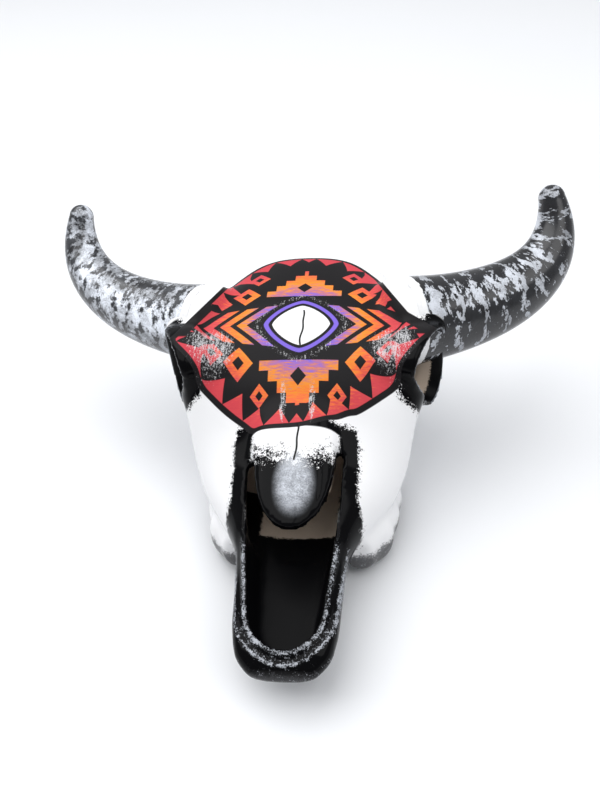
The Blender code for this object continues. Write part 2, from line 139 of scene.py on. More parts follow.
# Eye sockets: an outline in the plane of the opening, forwards and up from its middle
SOCKET_CENTRE = (47.2, -4.0, 52.0)
SOCKET_TURN = math.radians(25.0)
SOCKET_OUTLINE = (
    (-9.6, 12.4),
    (1.2, 16.4),
    (10.0, 14.4),
    (14.2, 9.4),
    (11.0, 2.0),
    (7.0, -5.0),
    (3.0, -12.0),
    (-2.0, -16.2),
    (-7.6, -14.8),
    (-11.2, -8.5),
    (-11.2, 1.0),
)
SOCKET_LIP = 1.12
SOCKET_TUBE = 12.0
SOCKET_REACH = 10.0
SOCKET_NARROWING = 0.72
SOCKET_CLEARANCE = 6.0

# Brow over each socket, from an upright oval in the forehead to one in the plane of the opening
BROW_INNER = (14.0, 0.0, 57.5)
BROW_INNER_HALVES = (15.0, 9.0)
BROW_OUTER = (0.6, 4.4)
BROW_OUTER_HALVES = (13.6, 11.2)
BROW_OUT = -0.4

# Horns: a bent centre line, thicker on the right horn, and a white root that runs into the head
HORN_LINE = ((34.0, 15.5, 59.9), (56.0, 25.5, 55.4), (106.5, 46.6, 50.0), (93.2, 61.4, 87.5))
HORN_END = {"left": 0.965, "right": 0.98}
HORN_RADII = (16.6, 13.9, 10.4, 4.3)
HORN_THICKNESS = {"left": 0.95, "right": 1.05}
HORN_START_SEARCH = (0.0, 0.3, 600)
HORN_ROOT_CUT = 38.5
HORN_LEAD = 3.0
HORN_ROOT_SPAN = (0.16, 0.02)
HORN_ROOT_CAP = 10.0
HORN_SHARP_EDGE = math.radians(50.0)

# Tooth rows: y, half width, level of the row's underside; the row's middle, in and out
TOOTH_STATIONS = (
    (-7.0, 3.5, 9.0),
    (-13.0, 6.0, 1.6),
    (-24.0, 7.6, -0.7),
    (-38.0, 8.0, -0.7),
    (-49.0, 7.6, -0.6),
    (-56.0, 4.6, 4.0),
)
TOOTH_MIDDLE = ((-7.0, 29.0), (-30.0, 28.0), (-46.0, 25.0), (-56.0, 21.5))
TOOTH_TOP = 20.0
TOOTH_SQUARENESS = 2.5
MOLARS = 5
MOLAR_RELIEF = 0.5

# Boxes that cut the head flat below and trim the horns' ends: distances across, along and up
FLOOR_BOX = ((-80.0, 80.0), (-120.0, 80.0), (-20.0, 0.0))
ROOT_END_BOX = ((HORN_ROOT_CUT + 0.6, 80.0), (14.0, 60.0), (40.0, 110.0))
ROOT_CUT_BOX = ((-10.0, HORN_ROOT_CUT), (-60.0, 100.0), (0.0, 120.0))

# Carving of the outer surface: middle, width and height of each bump or groove, and where it starts and grows
CARVED_SLOPE = 0.2
CARVED_ABOVE = 20.0
RIM_GROOVE = (3.0, 1.1, -0.7)
RIM_GROOVE_START = (-60.0, 12.0)
FLAP_BULGE = (0.8, 4.4, 0.9)
FLAP_GROOVES = (7.4, 1.3, -0.5)
FLAP_START = (-40.0, 8.0)
FLAP_HALF = 13.5
FLAP_TIP = -66.0
FLAP_LOWEST = 36.0
WANDER = 0.12
WANDER_LENGTHS = (7.3, 8.9, 6.7)
FLAT_BELOW = 0.05

# Incised middle line: its place, its waves (size, length, shift) and the stretches that show
MIDLINE = 1.0
SUTURE_WAVES = ((0.35, 3.1, 0.0), (0.2, 1.3, 1.0))
SUTURE_PARTS = ((-44.0, -31.0), (-6.0, 10.0))
SUTURE_MARGINS = (1.6, 2.0)
SUTURE_LOWEST = 42.0
SUTURE_SLOPE = 0.3
SUTURE_CUTS = 3

# Painted patch of the forehead seen from above
PATCH_OUTLINE = (
    (-51.5, 5.5),
    (-45.6, -7.0),
    (-37.5, -15.0),
    (-28.5, -22.6),
    (-19.1, -28.9),
    (-12.5, -32.6),
    (3.0, -32.4),
    (16.9, -26.6),
    (22.5, -24.8),
    (34.6, -17.3),
    (44.0, -8.0),
    (51.0, 2.5),
    (43.5, 8.5),
    (38.0, 16.0),
    (33.0, 25.0),
    (25.5, 36.0),
    (12.0, 44.5),
    (-12.0, 44.5),
    (-25.5, 36.0),
    (-33.0, 25.0),
    (-38.0, 16.0),
    (-43.5, 9.5),
)
PATCH_LOWEST = 44.0
OUTSIDE_PATCH = -20.0
# Planes that bound the patch beside the horn roots: a direction into the patch, and the level along it
PATCH_SIDES = (
    (((-0.765, -0.361, -0.534), -69.71), ((-0.501, -0.491, -0.713), -73.08)),
    (((0.657, -0.287, -0.698), -77.1),),
)

# Black round the nose: distances towards the muzzle and its half width at each, then its limits
SNOUT_BAND = ((28.0, 34.0, 50.0, 55.0, 58.0), (20.5, 21.8, 21.6, 23.0, 27.0))
SNOUT_LOWEST = 27.0
SNOUT_FADE = 0.6
SNOUT_BACK = -29.0
SNOUT_ALL_BLACK = -57.0

# Design of the forehead, in distances from the medallion's middle
MEDALLION = {"middle": (0.5, 3.0), "halves": (10.4, 9.0), "power": 1.45, "ring": (1.2, 1.46, 0.03)}
CHEVRON = {"slant": 1.15, "spacing": 6.2, "stroke": (1.2, 4.9, 0.1), "narrowing": 0.12}
PYRAMID = {"foot": 14.2, "stair": 3.3, "half": 14.0, "window": 5.2}
SAWTOOTH = {"teeth": 8.0, "height": 5.6, "foot": 1.6}
# Diamonds: across and up from the medallion, half size
DIAMONDS = (
    (21.5, 15.5, 5.4),
    (30.0, 11.5, 3.6),
    (18.0, 26.5, 4.4),
    (21.5, -15.0, 5.4),
    (31.0, -12.5, 4.2),
    (13.6, -24.6, 3.4),
)
DIAMOND_HOLE = 0.36
CRISP = 0.2

# Ovals of the paint: across and along, half width and half length
BULGE_OVAL = (0.8, -51.0, 7.4, 11.5)
SCUFF_OVALS = (
    (-31.0, -7.0, 11.0, 12.0),
    (33.0, -7.0, 10.0, 11.0),
    (-4.6, -24.0, 1.6, 9.0),
    (5.6, -24.0, 1.6, 9.0),
)
SCUFFS_ROUND_MEDALLION = (1.6, 2.2, 0.4)

# Limits of the painted zones of the head, in millimetres
SOCKET_BLACK = 7.5
FLAP_WHITE_END = -43.8
WASH_LEVEL = 5.5
CLAY_FROM_SOCKET = 5.0
NOSE_CLAY = (50.5, 13.6)
CREST_DISTANCES = (1.3, 4.4)
BETWEEN_CRESTS = (1.0, 4.6, 0.6)

# Soft edges of the paint: where a value stops counting, and from where it counts in full
EDGES = {
    "upper": (34.0, 36.0),
    "flap_side": (15.4, 14.8),
    "flap_root": (-32.0, -32.6),
    "flap_bulge": (1.15, 0.1),
    "socket_back": (8.5, 7.5),
    "socket_edge": (0.9, 0.4),
    "rim_front": (-58.0, -72.0),
    "muzzle_front": (-84.0, -94.0),
    "inner_crest": (1.5, 0.2),
    "outer_crest": (1.2, 0.2),
    "caught": (0.61, 0.70),
    "brushed": (0.0, 0.02),
    "bulge_silver_and_highlight": (0.4, 0.62),
    "surface": (1.6, 0.8),
    "near_surface": (2.0, 1.0),
    "inside": (0.9, 1.5),
    "deep_inside": (2.0, 2.6),
    "nose": (-29.0, -31.0),
    "suture": (0.25, 0.6),
    "patch": (-0.12, 0.12),
    "painted": (1.6, 2.2),
    "scuff_place": (1.2, 0.1),
    "scuffs": (0.72, 0.84),
    "medallion": (1.02, 0.98),
    "chevron_start": (17.6, 17.8),
    "chevron_end": (10.6, 10.3),
    "motif_border": (3.2, 3.5),
    "pyramid_border": (7.4, 7.6),
    "pyramid_window": (2.7, 2.9),
    "sawtooth_border": (1.5, 1.7),
    "sawtooth_gap": (8.0, 9.0),
    "horn_bands": (0.55, 0.85),
    "horn_painted_highlight": (0.86, 0.99),
    "horn_painted_shading": (0.1, 0.85),
    "horn_haze": (0.35, 0.65),
    "horn_edge": (0.4, 0.7),
}

# Lesser tones of the paint
DUSK = (0.50, 0.17, 0.20)
EMBER = (0.80, 0.17, 0.05)
WINE = (0.50, 0.04, 0.07)
SCUFF_GREY = (0.62, 0.62, 0.64)
WASH_GREY = (0.035, 0.035, 0.038)
CRACK_BLACK = (0.02, 0.02, 0.02)
HORN_BLACK = (0.012, 0.012, 0.014)
BOARD_TONES = ((0.80, 0.81, 0.83), (0.83, 0.84, 0.86))
SUNSET_STOPS = (0.26, 0.36, 0.43, 0.53, 0.63, 1.0)
SUNSET_REACH = 50.0
METAL_STOPS = (0.40, 0.52, 0.66)
# Factor for the silver on the nasal bulge, brightened partly as a painted highlight
BRIGHT_SILVER = 1.45
DIM_CLAY = 0.85

# Silver brushing of each horn: stretch of the strokes, bands across it, a painted highlight along the side
# that faces up and forwards with painted shade below it, tones
HORN_PAINT = {
    "left": {
        "strokes": (0.8, 0.8, 0.9),
        "stroke_size": 0.34,
        "rough": 0.62,
        "band_spacing": 7.0,
        "band_weight": 0.05,
        "painted_highlight": (0.82, -0.57),
        "painted_highlight_weight": 0.06,
        "haze": (0.055, 0.058, 0.065),
        "painted_shading_weight": 0.035,
        "share": (0.455, 0.56),
        "shades": (0.45, 1.0, 2.1),
    },
    "right": {
        "strokes": (0.5, 0.5, 1.1),
        "stroke_size": 0.5,
        "rough": 0.66,
        "band_spacing": 9.5,
        "band_weight": 0.12,
        "painted_highlight": (0.97, -0.24),
        "painted_highlight_weight": 0.09,
        "haze": (0.02, 0.021, 0.024),
        "painted_shading_weight": 0.0,
        "share": (0.55, 0.59),
        "shades": (0.5, 0.95, 1.5),
    },
}

# Light and camera: each lamp's name, place and width in metres, and power in watts
LAMPS = (("key_lamp", (-0.45, 0.15, 1.2), 1.5, 18.0), ("fill_lamp", (0.7, -0.3, 1.1), 1.0, 6.5))
SKY_COLOUR = (0.95, 0.97, 1.0, 1.0)
SKY_FROM_FRONT_TO_BACK = (-0.9, 0.5, 0.34, 0.50)
CAMERA_AIM = (-2.27, 0.0, 35.33)
SENSOR_WIDTH = 36.0
NEAREST_SEEN = 0.01
NODE_GAP = 180
NODE_ROWS = 8


class SkullHeadSizes(bpy.types.PropertyGroup):
    """Sizes of the ceramic head."""

    wall: bpy.props.FloatProperty(
        name="Wall", description="Thickness of the cast wall", default=3.6 * MM, unit="LENGTH"
    )
    mesh_size: bpy.props.FloatProperty(
        name="Mesh size", description="Edge length of the finished surface", default=1.0 * MM, unit="LENGTH"
    )
    blending: bpy.props.IntProperty(
        name="Blending", description="How many times the joined forms are smoothed into one", default=16
    )
    rim_rounding: bpy.props.IntProperty(
        name="Rim rounding", description="How many times the cut edges are smoothed", default=2
    )
    suture_width: bpy.props.FloatProperty(
        name="Suture width", description="Width of the incised middle line", default=0.7 * MM, unit="LENGTH"
    )
    suture_depth: bpy.props.FloatProperty(
        name="Suture depth", description="Depth of the incised middle line", default=0.35 * MM, unit="LENGTH"
    )


class SkullHornSizes(bpy.types.PropertyGroup):
    """Fineness of the horns."""

    rings: bpy.props.IntProperty(name="Rings", description="Cross sections along a horn", default=150)
    sides: bpy.props.IntProperty(name="Sides", description="Points round a cross section", default=96)


class SkullPaintColours(bpy.types.PropertyGroup):
    """Colours of the glazes and paints."""

    white: bpy.props.FloatVectorProperty(
        name="White glaze", description="Glaze of the face", default=(0.86, 0.86, 0.87), subtype="COLOR"
    )
    black: bpy.props.FloatVectorProperty(
        name="Black glaze", description="Nose and sockets", default=(0.002, 0.002, 0.0025), subtype="COLOR"
    )
    ground: bpy.props.FloatVectorProperty(
        name="Ground", description="Ground of the forehead", default=(0.014, 0.013, 0.014), subtype="COLOR"
    )
    silver: bpy.props.FloatVectorProperty(
        name="Silver", description="Dry-brushed silver grey", default=(0.42, 0.44, 0.48), subtype="COLOR"
    )
    bisque: bpy.props.FloatVectorProperty(
        name="Bisque", description="Bare fired clay inside", default=(0.50, 0.41, 0.33), subtype="COLOR"
    )
    violet: bpy.props.FloatVectorProperty(
        name="Violet", description="Paint round the medallion", default=(0.20, 0.13, 0.62), subtype="COLOR"
    )
    orange: bpy.props.FloatVectorProperty(
        name="Orange", description="Middle of the sunset colours", default=(0.78, 0.27, 0.03), subtype="COLOR"
    )
    coral: bpy.props.FloatVectorProperty(
        name="Coral", description="Outer sunset colour", default=(0.62, 0.07, 0.08), subtype="COLOR"
    )


class SkullStageSizes(bpy.types.PropertyGroup):
    """The floor and the camera."""

    floor_size: bpy.props.FloatProperty(
        name="Floor", description="Width of the floor", default=6.0, unit="LENGTH"
    )
    distance: bpy.props.FloatProperty(
        name="Camera distance", description="From the camera to its aim", default=0.31145, unit="LENGTH"
    )
    heading: bpy.props.FloatProperty(
        name="Camera heading", description="Turn to the right", default=math.radians(8.97), subtype="ANGLE"
    )
    elevation: bpy.props.FloatProperty(
        name="Camera elevation", description="Above the table", default=math.radians(40.76), subtype="ANGLE"
    )
    roll: bpy.props.FloatProperty(
        name="Camera roll", description="Tilt about its view", default=math.radians(-6.02), subtype="ANGLE"
    )
    lens: bpy.props.FloatProperty(
        name="Lens", description="Focal length for a 36 mm wide sensor", default=36.59, unit="CAMERA"
    )


def place():
    """Where the zero of the tables lies in the part's own frame, in millimetres."""
    low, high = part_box("nasal_bones")
    muzzle_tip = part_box("muzzle")[0]
    return np.array(((low.x + high.x) / 2 / MM, muzzle_tip.y / MM - HEAD_STATIONS[-1][0], 0.0))


PLACE = place()


def to_frame(points):
    """Table millimetres to metres in the part's frame."""
    return (np.asarray(points, float) + PLACE) * MM


def to_table(points):
    """Metres in the part's frame to table millimetres."""
    return np.asarray(points, float) / MM - PLACE


def through(a, b, c, d, t):
    """A point between b and c, on a smooth curve through all four."""
    return (2 * b + (c - a) * t + (2 * a - 5 * b + 4 * c - d) * t**2 + (3 * b - a - 3 * c + d) * t**3) / 2


def between(table, y):
    """The values of a table at y, along a smooth curve through its rows, which run from high y to low y."""
    last = len(table) - 1
    y = min(max(y, table[last][0]), table[0][0])
    i = next(k for k in range(last) if y >= table[k + 1][0])
    rows = [np.array(table[min(max(k, 0), last)]) for k in range(i - 1, i + 3)]
    return through(*rows, (rows[1][0] - y) / (rows[1][0] - rows[2][0]))[1:]


def closed_curve(points):
    """A smooth closed line through points."""
    line = []
    for i in range(len(points)):
        corners = [np.array(points[(i + k) % len(points)]) for k in (-1, 0, 1, 2)]
        line += [through(*corners, step / CURVE_STEPS) for step in range(CURVE_STEPS)]
    return np.array(line)


def signed_power(value, power):
    return math.copysign(abs(value) ** power, value)


def spaced(start, end, count):
    return [start + (end - start) * i / (count - 1) for i in range(count)]


def unit(vector):
    return vector / np.linalg.norm(vector)


def circle(count):
    """How far right and up each of some points round a circle lies."""
    turns = [2 * math.pi * i / count for i in range(count)]
    return [(math.cos(turn), math.sin(turn)) for turn in turns]


def head_ring(y, inset=0.0, form="head"):
    """One cross section of the head, inset by a wall."""
    half, top, wide, under, below, squareness = between(HEAD_STATIONS, y)
    half, below, top, under = half - inset, below - inset, top - inset, under + inset
    ring = []
    for across, up in circle(ROUND[form]):
        if up >= 0:
            x = half * signed_power(across, 2 / squareness)
            z = wide + (top - wide) * up ** (2 / squareness)
        else:
            drop = abs(up) ** (2 / SIDE_SQUARENESS)
            x = (half + (below - half) * drop**SIDE_TAPER) * signed_power(across, 2 / SIDE_SQUARENESS)
            z = wide - (wide - under) * drop
        ring.append((x, y, z))
    return ring


def squared_ring(form, y, middle, half, top, under, squareness):
    """An upright cross section with rounded corners."""
    level, height, power = (top + under) / 2, (top - under) / 2, 2 / squareness
    return [
        (middle + half * signed_power(across, power), y, level + height * signed_power(up, power))
        for across, up in circle(ROUND[form])
    ]


def bridge_ring(y, inset=0.0):
    half, top = between(BRIDGE_STATIONS, y) - inset
    return squared_ring("bridge", y, 0.0, half, top, top - BRIDGE_DEPTH, BRIDGE_SQUARENESS)


def tooth_ring(y, side):
    """A rounded bar under the cheek, with a low swelling for each molar."""
    half, under = between(TOOTH_STATIONS, y)
    middle = side * between(TOOTH_MIDDLE, y)[0]
    back = TOOTH_STATIONS[0][0]
    half += MOLAR_RELIEF * math.cos(2 * math.pi * MOLARS * (y - back) / (back - TOOTH_STATIONS[-1][0]))
    return squared_ring("teeth", y, middle, half, TOOTH_TOP, under, TOOTH_SQUARENESS)


def socket_frame(side):
    """The middle of an eye socket, and its directions forwards and outwards."""
    x, y, z = SOCKET_CENTRE
    turned, ahead = math.sin(SOCKET_TURN), math.cos(SOCKET_TURN)
    places = ((side * x, y, z), (-side * turned, -ahead, 0.0), (side * ahead, -turned, 0.0))
    return [np.array(values) for values in places]


def socket_ring(side, out, size=1.0):
    """The outline of an eye socket at a distance outwards, scaled about its middle."""
    middle, forwards, outwards = socket_frame(side)
    outline = closed_curve(SOCKET_OUTLINE) * size
    return [middle + outwards * out + forwards * ahead + UPWARDS * up for ahead, up in outline]


def horn_point(t, side):
    a, b, c, d = (np.array((side * x, y, z)) for x, y, z in HORN_LINE)
    return a * (1 - t) ** 3 + b * 3 * t * (1 - t) ** 2 + c * 3 * t**2 * (1 - t) + d * t**3


def horn_radius(t):
    """The horn's radius, along a cubic through its four given radii."""
    cubic = np.polyfit(spaced(0.0, 1.0, len(HORN_RADII)), HORN_RADII, 3)
    return np.polyval(cubic, t)


def tube_rings(points, radii, sides):
    """Round cross sections along a line, each square to it and not twisted."""
    across = np.cross(points[1] - points[0], UPWARDS)
    rings = []
    for i, (point, radius) in enumerate(zip(points, radii)):
        heading = unit(points[min(i + 1, len(points) - 1)] - points[max(i - 1, 0)])
        across = unit(across - heading * (across @ heading))
        upwards = np.cross(across, heading)
        rings.append([point + (across * right + upwards * up) * radius for right, up in circle(sides)])
    return rings


def rounded_end(points, radii, depth, steps):
    """Closes a tube with a rounded end of some depth, by adding shrinking sections to it."""
    heading = unit(points[-1] - points[-2])
    end, radius = points[-1], radii[-1]
    for i in range(1, steps):
        turn = math.pi / 2 * i / steps
        points.append(end + heading * depth * math.sin(turn))
        radii.append(radius * math.cos(turn))


def select_only(obj):
    bpy.ops.object.select_all(action="DESELECT")
    obj.select_set(True)
    bpy.context.view_layer.objects.active = obj


def add_primitive(name, add, **settings):
    """Adds a primitive with nothing else selected, and names it."""
    bpy.ops.object.select_all(action="DESELECT")
    add(**settings)
    made = bpy.context.object
    made.name = name
    made.data.name = name
    return made


def read_vectors(items, name):
    """A vector of each item of a mesh, such as the place of each point."""
    values = np.empty(len(items) * 3, np.float32)
    items.foreach_get(name, values)
    return values.reshape(-1, 3).astype(float)


def lay_points(obj, places):
    """Moves the points of a mesh to places in the tables."""
    obj.data.vertices.foreach_set("co", to_frame(places).astype(np.float32).ravel())
    obj.data.update()


def order_round(places, count):
    """Which of some points round the upright axis each place is."""
    return np.rint(np.arctan2(places[:, 1], places[:, 0]) / (2 * math.pi) * count).astype(int) % count


def face_outwards(obj):
    """Turns all faces of a closed body outwards."""
    select_only(obj)
    bpy.ops.object.mode_set(mode="EDIT")
    bpy.ops.mesh.select_all(action="SELECT")
    bpy.ops.mesh.normals_make_consistent(inside=False)
    bpy.ops.object.mode_set(mode="OBJECT")


def ring_body(name, rings):
    """A closed body: a sphere whose rings are laid on the given cross sections."""
    sides, count = len(rings[0]), len(rings)
    add = bpy.ops.mesh.primitive_uv_sphere_add
    body = add_primitive(name, add, segments=sides, ring_count=count + 1, radius=1.0)
    sphere = read_vectors(body.data.vertices, "co")
    level = np.rint(np.arccos(sphere[:, 2].clip(-1, 1)) / math.pi * (count + 1)).astype(int)
    sections = np.array(rings)
    laid = sections[level.clip(1, count) - 1, order_round(sphere, sides)]
    laid[level == 0] = sections[0].mean(0)
    laid[level == count + 1] = sections[-1].mean(0)
    lay_points(body, laid)
    face_outwards(body)
    return body


def prism(name, low, high):
    """A closed body between two loops of points: a cylinder whose two ends are laid on them."""
    add = bpy.ops.mesh.primitive_cylinder_add
    body = add_primitive(name, add, vertices=len(low), radius=1.0, depth=2.0, end_fill_type="NGON")
    corners = read_vectors(body.data.vertices, "co")
    turn = order_round(corners, len(low))
    lay_points(body, np.where(corners[:, 2:] < 0, np.array(low)[turn], np.array(high)[turn]))
    apply_modifier(body, "TRIANGULATE")
    face_outwards(body)
    return body


def box_body(name, side, spans):
    """A box between two distances in each direction, turned over for the left side."""
    spans = [sorted(side * x for x in spans[0]), *spans[1:]]
    low, high = to_frame(np.transpose(spans))
    body = add_primitive(name, bpy.ops.mesh.primitive_cube_add, size=1.0, location=(low + high) / 2)
    body.scale = high - low
    bpy.ops.object.transform_apply(location=True, rotation=True, scale=True)
    return body


def apply_modifier(obj, kind, **settings):
    select_only(obj)
    modifier = obj.modifiers.new(kind.lower(), kind)
    for setting, value in settings.items():
        setattr(modifier, setting, value)
    bpy.ops.object.modifier_apply(modifier=modifier.name)


def combine(obj, others, operation):
    """Joins bodies to an object, or cuts them out of it, one after the other, and removes them."""
    for other in others:
        apply_modifier(obj, "BOOLEAN", operation=operation, object=other, solver="EXACT")
        bpy.data.objects.remove(other)


def fuse(obj, mesh_size, smoothing):
    """Lays one even surface over a body, and smooths it."""
    apply_modifier(obj, "REMESH", mode="VOXEL", voxel_size=mesh_size)
    apply_modifier(obj, "SMOOTH", iterations=smoothing)


def nose_rim(narrowing=1.0):
    """The rim's inner edge seen from above, from the left slit round the front to the right slit."""
    left = [(-half * narrowing, y) for y, half in NOSE_RIM]
    y, half = NOSE_RIM[-1]
    turns = spaced(math.pi, 2 * math.pi, SECTIONS["nose_front"])[1:-1]
    reach = y - NOSE_FRONT
    front = [(half * narrowing * math.cos(turn), y + reach * math.sin(turn)) for turn in turns]
    right = [(half * narrowing, y) for y, half in reversed(NOSE_RIM)]
    return left + front + right


def nasal_edge():
    """The free edge of the nasal bones, with both slit tops, from the right slit to the left one."""
    right = [(half, y) for y, half in NASAL_EDGE]
    left = [(-half, y) for y, half in reversed(NASAL_EDGE)]
    half, rim = NASAL_EDGE[0][1], NOSE_RIM[0][1]
    start = [(rim, SLIT_TOP["right"]), (half, SLIT_TOP["right"])]
    return start + right + left + [(-half, SLIT_TOP["left"]), (-rim, SLIT_TOP["left"])]


def above_rim(outline, height):
    """An outline seen from above, laid at a height over the sloping rim of the nose."""
    level, start, slope = RIM_LEVEL
    return [(x, y, level + slope * (y - start) + height) for x, y in outline]


def nose_cutters():
    """The trough of the nose, which narrows to its floor, and the opening round the nasal bones above it."""
    floor = [(x, y, NOSE_FLOOR) for x, y in nose_rim(NOSE_FLOOR_NARROWING)]
    opening = nose_rim() + nasal_edge()
    low, high = above_rim(opening, -2 * TROUGH_BELOW_RIM), above_rim(opening, NOSE_CUT_ABOVE_RIM)
    return [prism("trough", floor, above_rim(nose_rim(), -TROUGH_BELOW_RIM)), prism("opening", low, high)]


def hollow_rings(wall):
    """The head's sections inset by the wall, closing to a rounded end at the back."""
    rings = []
    for y in spaced(HOLLOW_BACK, HOLLOW_FRONT, SECTIONS["hollow"]):
        ring = np.array(head_ring(y, wall, "hollow"))
        into = min(1.0, (HOLLOW_BACK - y) / HOLLOW_ROUNDING)
        size = HOLLOW_SCALE_AT_BACK + (1 - HOLLOW_SCALE_AT_BACK) * math.sqrt(into * (2 - into))
        rings.append(ring.mean(0) + (ring - ring.mean(0)) * size)
    return rings


def brow(side):
    """A low form over an eye socket, between two ovals."""
    middle, forwards, outwards = socket_frame(side)
    x, y, z = BROW_INNER
    (long, high), (long_out, high_out) = BROW_INNER_HALVES, BROW_OUTER_HALVES
    inner, outer = [], []
    for ahead, up in circle(ROUND["brow"]):
        inner.append(np.array((side * x, y - long * ahead, z + high * up)))
        spot = middle + outwards * BROW_OUT + forwards * (BROW_OUTER[0] + long_out * ahead)
        outer.append(spot + UPWARDS * (BROW_OUTER[1] + high_out * up))
    return ring_body("brow", [inner, outer])


def horn_root(side, thickness):
    """The white root of a horn, from inside the black horn to a rounded end inside the head."""
    marks = spaced(*HORN_ROOT_SPAN, SECTIONS["root"])
    points = [horn_point(t, side) for t in marks]
    radii = [horn_radius(t) * thickness for t in marks]
    rounded_end(points, radii, HORN_ROOT_CAP, SECTIONS["root_cap"])
    return ring_body("root", tube_rings(points, radii, ROUND["root"]))


def along(stations, form):
    """The places of a form's cross sections, from the first row of its table to the last."""
    return spaced(stations[0][0], stations[-1][0], SECTIONS[form])


def solid_head(sizes):
    """The whole head as one solid: its forms joined and blended."""
    head = ring_body("skull_head", [head_ring(y) for y in along(HEAD_STATIONS, "head")])
    forms = [ring_body("bridge", [bridge_ring(y) for y in along(BRIDGE_STATIONS, "bridge")])]
    for name, side in SIDES.items():
        reach = spaced(-SOCKET_TUBE, 0.0, SECTIONS["socket"])
        forms.append(ring_body("orbit", [socket_ring(side, out, SOCKET_LIP) for out in reach]))
        forms.append(brow(side))
        forms.append(ring_body("teeth", [tooth_ring(y, side) for y in along(TOOTH_STATIONS, "teeth")]))
        forms.append(horn_root(side, HORN_THICKNESS[name]))
    combine(head, forms, "UNION")
    fuse(head, sizes.mesh_size, sizes.blending)
    return head


def open_head(head, sizes):
    """Hollows the head and cuts the nose opening, the sockets, the roots' ends and the resting flats."""
    ys = spaced(UNDER_BRIDGE_BACK, BRIDGE_STATIONS[-1][0], SECTIONS["under_bridge"])
    spaces = [ring_body("hollow", hollow_rings(sizes.wall / MM))] + nose_cutters()
    spaces.append(ring_body("under_bridge", [bridge_ring(y, NASAL_WALL) for y in ys]))
    for side in SIDES.values():
        rings = [socket_ring(side, -SOCKET_REACH, SOCKET_NARROWING)]
        rings += [socket_ring(side, out) for out in (0.0, SOCKET_CLEARANCE)]
        spaces.append(ring_body("socket", rings))
        spaces.append(box_body("root_end", side, ROOT_END_BOX))
    spaces.append(box_body("floor", 1, FLOOR_BOX))
    combine(head, spaces, "DIFFERENCE")
    fuse(head, sizes.mesh_size, sizes.rim_rounding)


def distance_to_line(points, line, closed=False):
    """The distance of each point to a line through places, or to a closed loop of them, in the same unit."""
    line = np.array(line)
    starts = line if closed else line[:-1]
    nearest = np.full(len(points), np.inf)
    for start, end in zip(starts, np.roll(line, -1, axis=0)):
        step = end - start
        share = ((points - start) @ step / (step @ step)).clip(0, 1)
        apart = points - (start + share[:, None] * step)
        nearest = np.minimum(nearest, np.linalg.norm(apart, axis=1))
    return nearest


def inside_outline(points, outline):
    """Whether each point, seen from above, lies in a closed outline."""
    within = np.zeros(len(points), bool)
    x, y = points.T
    for (ax, ay), (bx, by) in zip(outline, np.roll(outline, -1, axis=0)):
        crosses = (ay > y) != (by > y)
        rise = 1.0 if by == ay else by - ay
        within ^= crosses & (x < (bx - ax) * (y - ay) / rise + ax)
    return within


def patch_field(points):
    """How far a point lies inside the painted patch of the forehead, in millimetres."""
    outline = closed_curve(PATCH_OUTLINE)
    flat = points[:, :2]
    away = distance_to_line(flat, outline, closed=True)
    field = np.where(inside_outline(flat, outline), away, -away)
    for planes in PATCH_SIDES:
        inside = [points @ np.array(direction) - level for direction, level in planes]
        field = np.minimum(field, np.max(inside, axis=0))
    return np.where(points[:, 2] > PATCH_LOWEST, field, OUTSIDE_PATCH)


def socket_rim_field(points):
    """The distance of a point to the nearer rim of the eye sockets, in millimetres."""
    rims = [socket_ring(side, 0.0) for side in SIDES.values()]
    return np.min([distance_to_line(points, rim, closed=True) for rim in rims], axis=0)


def rim_field(points):
    """The distance of a point, seen from above, to the inner edge of the nose rim, in millimetres."""
    return distance_to_line(points[:, :2], nose_rim())


def snout_field(points):
    """How far a point lies inside the black of the snout, in millimetres."""
    x, y, z = points.T
    beside = np.interp(-y, *SNOUT_BAND) - np.abs(x)
    black = np.min([beside, (z - SNOUT_LOWEST) * SNOUT_FADE, SNOUT_BACK - y], axis=0)
    return np.maximum(black, SNOUT_ALL_BLACK - y)


def store(mesh, name, values):
    """Keeps a value for each point of a mesh, for its material to read."""
    kept = mesh.attributes.new(name, "FLOAT", "POINT")
    kept.data.foreach_set("value", np.asarray(values, np.float32))


def soft_bump(value, middle, width, height=1.0):
    """A soft bump at a middle value, or a groove where its height is below zero."""
    return height * np.exp(-(((value - middle) / width) ** 2))


def grown(y, start, length):
    """0 at a start and 1 at a length further towards the muzzle."""
    return ((start - y) / length).clip(0, 1)


def carve_head(head):
    """Carves the groove of the nose rim and the bulge of the nasal bones into a slightly uneven surface."""
    points = to_table(read_vectors(head.data.vertices, "co"))
    normals = read_vectors(head.data.vertices, "normal")
    x, y, z = points.T
    outer = (normals[:, 2] > CARVED_SLOPE) & (z > CARVED_ABOVE)
    flap = outer & (np.abs(x) < FLAP_HALF) & (y > FLAP_TIP) & (z > FLAP_LOWEST)
    relief = soft_bump(x, *FLAP_BULGE) + soft_bump(np.abs(x - FLAP_BULGE[0]), *FLAP_GROOVES)
    move = relief * grown(y, *FLAP_START) * flap
    move += soft_bump(rim_field(points), *RIM_GROOVE) * grown(y, *RIM_GROOVE_START) * outer
    long, deep, high = WANDER_LENGTHS
    move += WANDER * np.sin(x / long + 1.0) * np.sin(y / deep) * np.sin(z / high + 2.0)
    points += normals * move[:, None]
    points[:, 2] = np.where(points[:, 2] < FLAT_BELOW, 0.0, points[:, 2])
    lay_points(head, points)


def subdivide(obj, chosen, cuts):
    """Splits the chosen faces of a mesh."""
    select_only(obj)
    bpy.ops.object.mode_set(mode="EDIT")
    bpy.ops.mesh.select_mode(type="FACE")
    bpy.ops.mesh.select_all(action="DESELECT")
    bpy.ops.object.mode_set(mode="OBJECT")
    obj.data.polygons.foreach_set("select", chosen)
    bpy.ops.object.mode_set(mode="EDIT")
    bpy.ops.mesh.subdivide(number_cuts=cuts)
    bpy.ops.object.mode_set(mode="OBJECT")


